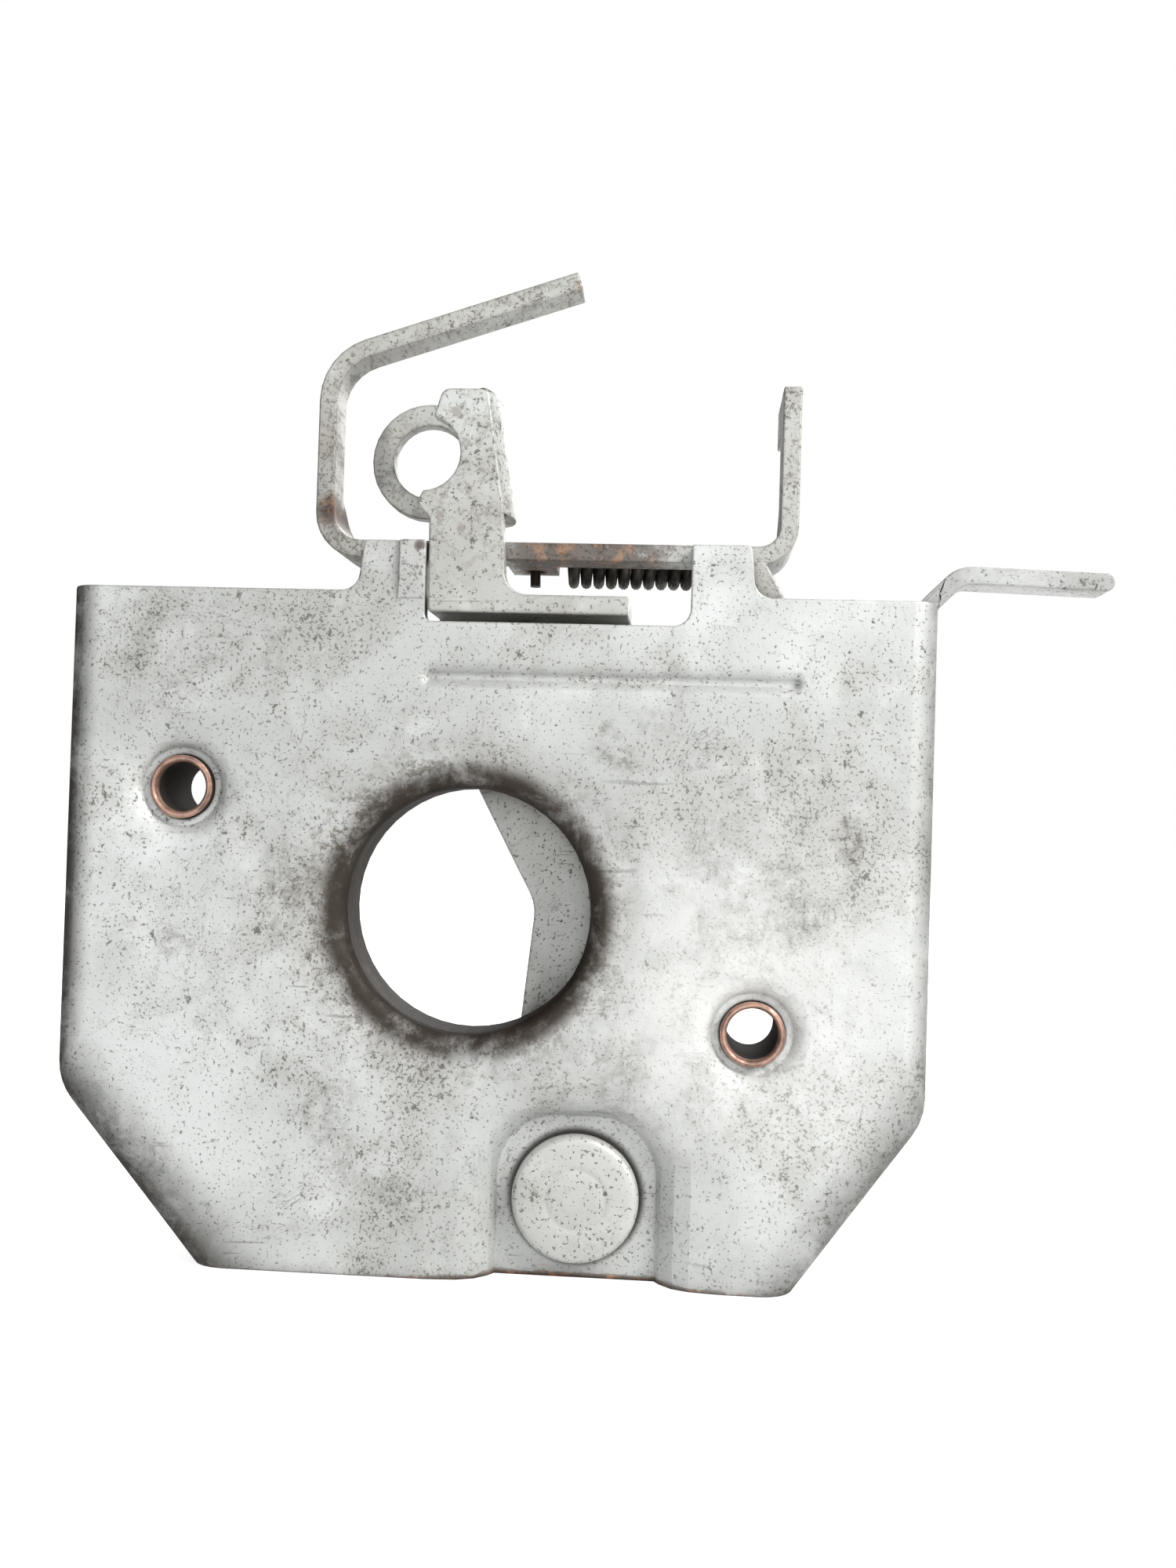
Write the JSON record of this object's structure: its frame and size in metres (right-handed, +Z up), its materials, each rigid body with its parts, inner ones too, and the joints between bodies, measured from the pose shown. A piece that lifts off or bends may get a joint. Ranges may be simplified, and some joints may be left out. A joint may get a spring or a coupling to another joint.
{
  "type": "bonnet latch",
  "caption": "Pressed steel bonnet latch: housing with a round striker hole, sprung catch lever with cable clevis, and a guard bracket with hook arm and cable stop.",
  "frame": {"origin": "centre of the striker hole, in the plane of the housing's front face, which lies against the body panel", "axes": "+X to the right seen from the front, +Z up towards the cable clevis, +Y from the front face back into the latch"},
  "size_m": [0.1357, 0.0174, 0.131],
  "materials": {
    "zinc_sheet": "weathered zinc, matt, with grime, scratches and rusty cut edges",
    "bracket_sheet": "zinc plated, worn, rust on the cut edge",
    "copper_bush": "coppery brown, dull",
    "rivet_zinc": "matt zinc, scuffed",
    "bare_steel": "oily bare steel",
    "lever_sheet": "speckled worn zinc",
    "greasy_spring": "dark steel under grease"
  },
  "bodies": {
    "housing": {"housing_plate": "zinc_sheet", "guard_bracket": "bracket_sheet", "mounting_bush_left": "copper_bush", "mounting_bush_right": "copper_bush", "pivot_rivet": "rivet_zinc", "pivot_bush": "bare_steel", "wave_washer": "bare_steel", "pivot_washer": "bare_steel", "return_spring": "greasy_spring"},
    "catch": {"catch_lever": "lever_sheet"}
  },
  "joints": [
    {"name": "catch_pivot", "type": "hinge", "parent": "housing", "child": "catch", "pos_m": [0.015, 0.0108, -0.0366], "axis": [0, 1, 0], "range_deg": [0, 5], "stiffness_Nm_per_rad": 20, "springref_deg": -3.44, "deforming": ["return_spring"]}
  ]
}
